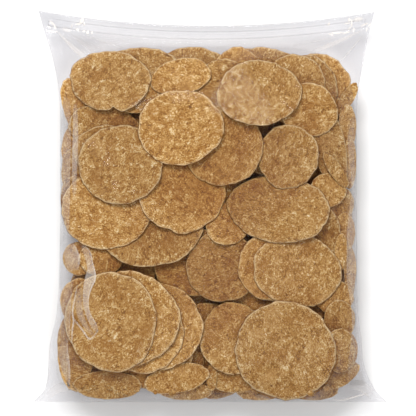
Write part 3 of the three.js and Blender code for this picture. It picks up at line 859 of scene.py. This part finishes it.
def weld_sheet(x, y, half_length, half_width, turn, milkiness, film_above):
    """An oval mark, as a short pleat with no edges."""
    blunt = 0.02  # keeps the two sides apart at the ends
    t = np.linspace(-1, 1, 9)
    sides = []
    for side in (-1, 1):
        bulge = side * half_width * np.sqrt(np.maximum(1 - t**2, blunt))
        u, v = rotated(t * half_length, bulge, math.radians(turn))
        sides.append(np.column_stack([x + u, y + v]))
    return pleat_sheet(*sides, WELD_WHITENESS * milkiness, 0, 0, 0, film_above)


def make_film_folds(film_above):
    sheets = [pleat_sheet(*pleat, film_above) for pleat in PLEATS]
    sheets += [weld_sheet(*weld, film_above) for weld in WELDS]
    across = math.ceil(math.sqrt(len(sheets)))
    quads = grid_faces(numbered(*FOLD_GRID))
    place = grid_places(*(np.linspace(0.04, 0.96, n) for n in FOLD_GRID))
    faces, corners = [], []
    for number in range(len(sheets)):
        faces.append(quads + number * len(place))
        corners.append(((place + (number % across, number // across)) / across)[quads.ravel()])
    points, milk = (np.concatenate(kind) for kind in zip(*sheets))
    piece = new_mesh_object("film_folds", points, np.vstack(faces).tolist())
    add_attributes(piece, milk=milk)
    add_bake_map(piece, np.vstack(corners))
    thickness = piece.modifiers.new("thickness", "SOLIDIFY")
    thickness.thickness = 0.1 * MM
    thickness.offset = 1
    return piece


# ---- the zip

ZIP_END_GAP = 7
# The zip's section: distance below the mouth, and height over the middle of the film.
ZIP_SECTION = [
    (4.1, 0.28), (4.5, 0.5), (4.9, 0.95), (5.5, 1.15), (6.1, 0.95), (6.6, 0.55), (7.0, 0.45), (7.4, 0.55),
    (7.9, 0.95), (8.6, 1.15), (9.3, 0.95), (9.8, 0.5), (10.2, 0.28),
]


def make_zip():
    count = 150
    crushed, flattest, wobble_height = 17, 0.5, 0.35  # at each end
    left = fold_at(LEFT_FOLD, np.array(MOUTH_Y)) + ZIP_END_GAP
    right = fold_at(RIGHT_FOLD, np.array(MOUTH_Y)) - ZIP_END_GAP
    x = np.linspace(left, right, count)[:, None]
    below, lift = np.array(ZIP_SECTION).T
    sound = smoothstep(np.minimum(x - left, right - x), 0, crushed)
    wobble = (1 - sound) * wobble_height * np.sin(x * 1.9 + below * 1.3)
    thick = lift * lerp(flattest, 1, sound) + np.abs(wobble)
    y = mouth_y(x) - below
    middle = seam_height(x, y)
    wide_x = np.broadcast_to(x, y.shape)
    upper = np.stack([wide_x, y, middle + thick], axis=-1)
    lower = np.stack([wide_x, y, middle - thick], axis=-1)[:, ::-1]
    rings = np.concatenate([upper, lower], axis=1)
    per_ring = rings.shape[1]
    index = numbered(count, per_ring)
    index = np.concatenate([index, index[:, :1]], axis=1)
    faces = grid_faces(index).tolist() + [index[0, :-1].tolist(), index[-1, :-1][::-1].tolist()]
    piece = new_mesh_object("zip_track", rings.reshape(-1, 3), faces)
    own = numbered(count, per_ring + 1)
    flat = grid_places(np.linspace(0, 1, count), np.append(np.linspace(0, 0.9, per_ring), 0.95))
    caps = np.concatenate([flat[own[0, :-1]], flat[own[-1, :-1]][::-1]])
    add_bake_map(piece, np.vstack([flat[grid_faces(own).ravel()], caps]))
    return piece


# ---- materials

def srgb(*values):
    """A linear colour from the red, green and blue, 0 to 255, that a screen shows."""
    shares = [value / 255 for value in values]
    return (*(s / 12.92 if s <= 0.04045 else ((s + 0.055) / 1.055) ** 2.4 for s in shares), 1.0)


class Nodes:
    """Short ways to add nodes to a material and link them."""

    def __init__(self, name):
        self.material = bpy.data.materials.new(name)
        self.material.use_nodes = True
        self.tree = self.material.node_tree
        self.tree.nodes.clear()
        self.output = self.tree.nodes.new("ShaderNodeOutputMaterial")

    def add(self, kind, settings=None, **inputs):
        """A new node. An input is named by its socket, or by i and its number."""
        node = self.tree.nodes.new("ShaderNode" + kind)
        for name, value in (settings or {}).items():
            setattr(node, name, value)
        for name, value in inputs.items():
            by_number = name[0] == "i" and name[1:].isdigit()
            socket = node.inputs[int(name[1:]) if by_number else name.replace("_", " ")]
            if isinstance(value, bpy.types.NodeSocket):
                self.tree.links.new(value, socket)
            else:
                socket.default_value = value
        return node

    def math(self, operation, a, b=0.0, c=0.0):
        return self.add("Math", {"operation": operation}, i0=a, i1=b, i2=c).outputs[0]

    def times(self, a, factor, plus=0.0):
        return self.math("MULTIPLY_ADD", a, factor, plus)

    def attribute(self, name, output="Fac"):
        return self.add("Attribute", {"attribute_name": name}).outputs[output]

    def noise(self, vector, scale, detail, roughness, distortion):
        return self.add(
            "TexNoise", Vector=vector, Scale=scale, Detail=detail, Roughness=roughness,
            Distortion=distortion,
        ).outputs["Fac"]

    def ramp(self, value, stops):
        node = self.add("ValToRGB", Fac=value)
        elements = node.color_ramp.elements
        elements[0].position, elements[0].color = stops[0]
        elements[1].position, elements[1].color = stops[-1]
        for position, colour in stops[1:-1]:
            elements.new(position).color = colour
        return node.outputs["Color"]

    def share(self, value, low, high, most=1.0):
        """0 up to the low value, and the most from the high value on."""
        return self.add("MapRange", i0=value, i1=low, i2=high, i3=0.0, i4=most).outputs[0]

    def mix(self, factor, a, b, blend="MIX"):
        return self.add(
            "Mix", {"data_type": "RGBA", "blend_type": blend}, i0=factor, i6=a, i7=b
        ).outputs[2]

    def surface(self, shader):
        self.tree.links.new(shader, self.output.inputs["Surface"])


def papad_material():
    """Fused sago grains: a tan crust of pale grains and amber dents, with paler, ragged rims of painted
    light, rim walls of painted amber shade and glow, and painted shade on the papads deep in the bag.
    """
    nodes = Nodes("papad")
    place = nodes.attribute("pattern", "Vector")
    rim = nodes.attribute("rim")
    stretched = nodes.add("Mapping", Vector=place, Scale=(0.55, 1.25, 1.0)).outputs["Vector"]
    # Features to a millimetre, detail, roughness and distortion: from wide patches to the single grains.
    blotches = nodes.noise(place, 0.07, 3, 0.55, 0.6)
    drifts = nodes.noise(place, 0.16, 3, 0.62, 1.4)
    curds = nodes.noise(place, 0.42, 5, 0.74, 1.8)
    streaks = nodes.noise(stretched, 0.45, 4, 0.7, 1.6)
    grains = nodes.noise(place, 1.0, 3, 0.66, 0.8)
    crust = nodes.times(curds, 0.52, nodes.times(streaks, 0.42, -0.375))
    crust = nodes.times(grains, 0.45, nodes.times(drifts, 0.36, crust))
    colour = nodes.ramp(crust, [
        (0.34, srgb(98, 54, 4)), (0.425, srgb(148, 95, 22)), (0.50, srgb(183, 133, 59)),
        (0.55, srgb(206, 161, 90)), (0.605, srgb(233, 204, 148)), (0.67, srgb(254, 242, 212)),
    ])
    amber = nodes.share(blotches, 0.5, 0.66, 0.5)
    colour = nodes.mix(amber, colour, srgb(160, 104, 28))
    smooth = nodes.share(blotches, 0.48, 0.36, 0.45)
    colour = nodes.mix(smooth, colour, srgb(194, 146, 80))
    # Painted light: a pale, ragged band along each rim, where the thin edge catches the light.
    ragged = nodes.times(nodes.math("ADD", curds, grains), 0.18, rim)
    pale = nodes.math("MULTIPLY", nodes.share(ragged, 1.11, 1.20, 0.85), nodes.share(drifts, 0.34, 0.5))
    colour = nodes.mix(pale, colour, srgb(242, 214, 164))
    # Painted shade and glow: the rim walls turn dark amber, as the shade under a rim looks with light through
    # the thin sago.
    under = nodes.share(rim, 1.25, 1.95, 0.9)
    colour = nodes.mix(under, colour, srgb(158, 96, 30))
    # Painted shade: papads deep inside the bag are darkened towards amber.
    shade = nodes.share(nodes.attribute("depth"), 2.5, 9.0, 0.9)
    colour = nodes.mix(shade, colour, (0.66, 0.5, 0.24, 1), "MULTIPLY")
    brightness = nodes.times(nodes.attribute("tone"), 0.12, 1.0)
    colour = nodes.add("HueSaturation", Value=brightness, Color=colour).outputs["Color"]
    bump = nodes.add("Bump", Strength=0.8, Distance=0.0016, Height=crust).outputs["Normal"]
    roughness = nodes.times(grains, 0.3, 0.33)
    shader = nodes.add("BsdfPrincipled", Base_Color=colour, Roughness=roughness, Normal=bump)
    nodes.surface(shader.outputs["BSDF"])
    return nodes.material


def clear_mix(nodes, share, tint, **gloss):
    """Give the material a shader that is see-through, but for a share of gloss."""
    clear = nodes.add("BsdfTransparent", Color=tint)
    shader = nodes.add("BsdfPrincipled", **gloss)
    mixed = nodes.add("MixShader", i0=share, i1=clear.outputs[0], i2=shader.outputs[0])
    nodes.surface(mixed.outputs[0])


def film_material():
    """Clear film that whitens where it is steep, a painted sheen, and where it is milky or carries painted
    highlights, and greys where it lies double; beside the contents it is lightened with painted light.
    """
    nodes = Nodes("film")
    facing = nodes.add("LayerWeight", Blend=0.3).outputs["Facing"]
    milk = nodes.attribute("milk")
    steep = nodes.times(nodes.math("POWER", facing, 2.4), 0.5, 0.010)
    share = nodes.times(milk, 0.5, steep)
    # Painted sheen: the base colour turns whitish where the film is steep, as its reflection there.
    whiteness = nodes.math("MAXIMUM", nodes.share(facing, 0.02, 0.3), nodes.share(milk, 0.0, 0.08))
    colour = nodes.mix(whiteness, (0.12, 0.12, 0.12, 1), (0.62, 0.61, 0.63, 1))
    # The veil greys the film; below zero it lightens the film beside the contents, a painted light.
    veil = nodes.share(nodes.attribute("veil"), -1.0, 1.0)
    clearest, greyest = (0.998, 0.995, 0.999, 1), (0.812, 0.81, 0.824, 1)
    tint = nodes.mix(veil, clearest, greyest)
    clear_mix(
        nodes, share, tint, Base_Color=colour, Roughness=0.15,
        Coat_Weight=1.0, Coat_IOR=3.5, Coat_Roughness=0.06,
    )
    return nodes.material


def fold_material():
    """Doubled film, as milky as the mesh says: partly its own haze, partly painted highlight along the folds.
    """
    nodes = Nodes("film_fold")
    share = nodes.math("MULTIPLY", nodes.attribute("milk"), 0.27)
    clear_mix(nodes, share, (0.985, 0.983, 0.985, 1), Base_Color=(0.97, 0.91, 0.83, 1), Roughness=0.2)
    return nodes.material


def zip_material():
    """Clear rails that darken where they are steep: painted shade on the sides of the rails."""
    nodes = Nodes("zip")
    facing = nodes.add("LayerWeight", Blend=0.45).outputs["Facing"]
    share = nodes.times(nodes.math("POWER", facing, 1.5), 0.6, 0.08)
    # Painted shade: dark grey where the rails' sides are steep.
    steep = nodes.share(facing, 0.05, 0.35)
    colour = nodes.mix(steep, (0.95, 0.95, 0.96, 1), (0.2, 0.197, 0.21, 1))
    clear_mix(nodes, share, (0.99, 0.988, 0.99, 1), Base_Color=colour, Roughness=0.22)
    return nodes.material


def floor_material():
    nodes = Nodes("floor")
    shader = nodes.add("BsdfPrincipled", Base_Color=(0.93, 0.93, 0.93, 1), Roughness=0.9)
    nodes.surface(shader.outputs["BSDF"])
    return nodes.material


# ---- stage, light and camera

FRAME_WIDTH = 314  # of the photograph at the bag
CAMERA_DISTANCE = 2600
SENSOR_WIDTH = 36
VIEW_X = -1.7
VIEW_Y = -1.2

# The area lights, which face the bag: where they are, their width and height, and their power in watts.
LIGHTS = {"key": ((-400, 1250, 2300), (1200, 900), 54), "fill": ((500, -700, 2500), (1500, 1500), 16)}
WORLD_STRENGTH = 0.54


def make_stage():
    size = 6000
    points = [(-size, -size, 0), (size, -size, 0), (size, size, 0), (-size, size, 0)]
    floor = new_mesh_object("floor", points, [(0, 1, 2, 3)])
    floor.data.materials.append(floor_material())


def make_lights():
    for name, (place, size, power) in LIGHTS.items():
        light = bpy.data.lights.new(name, "AREA")
        light.shape = "RECTANGLE"
        light.size, light.size_y = size[0] * MM, size[1] * MM
        light.energy = power
        lamp = bpy.data.objects.new(name, light)
        lamp.location = [c * MM for c in place]
        lamp.rotation_euler = (-Vector(place)).to_track_quat("-Z", "Y").to_euler()
        bpy.context.scene.collection.objects.link(lamp)
    world = bpy.data.worlds.new("studio")
    world.use_nodes = True
    background = world.node_tree.nodes["Background"]
    background.inputs["Color"].default_value = (1, 1, 1, 1)
    background.inputs["Strength"].default_value = WORLD_STRENGTH
    bpy.context.scene.world = world


def make_camera():
    camera = bpy.data.cameras.new("camera")
    camera.sensor_width = SENSOR_WIDTH
    camera.lens = SENSOR_WIDTH * (CAMERA_DISTANCE - SEAM_HEIGHT) / FRAME_WIDTH
    camera.clip_end = 100
    holder = bpy.data.objects.new("camera", camera)
    holder.location = (VIEW_X * MM, VIEW_Y * MM, CAMERA_DISTANCE * MM)
    bpy.context.scene.collection.objects.link(holder)
    bpy.context.scene.camera = holder
    bpy.context.scene.view_settings.view_transform = "Standard"


# ---- the scene

def add_piece(piece, material):
    piece.data.materials.append(material)
    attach(piece, "root")
    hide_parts("papad_bag")


def papad_detail(papad):
    small = 20
    if not papad.shows:
        return HIDDEN
    return FRONT_LARGE if max(papad.half_width, papad.half_height) > small else FRONT_SMALL


make_camera()
make_stage()
make_lights()

all_papads, all_crumbs, reached_heights = lay_papads()
bag_film, above = make_film(reached_heights)
sago = papad_material()
add_piece(make_papads("papads", all_papads, papad_detail, above), sago)
add_piece(make_papads("papad_crumbs", all_crumbs, lambda crumb: CRUMB, above), sago)
add_piece(bag_film, film_material())
add_piece(make_film_folds(above), fold_material())
add_piece(make_zip(), zip_material())
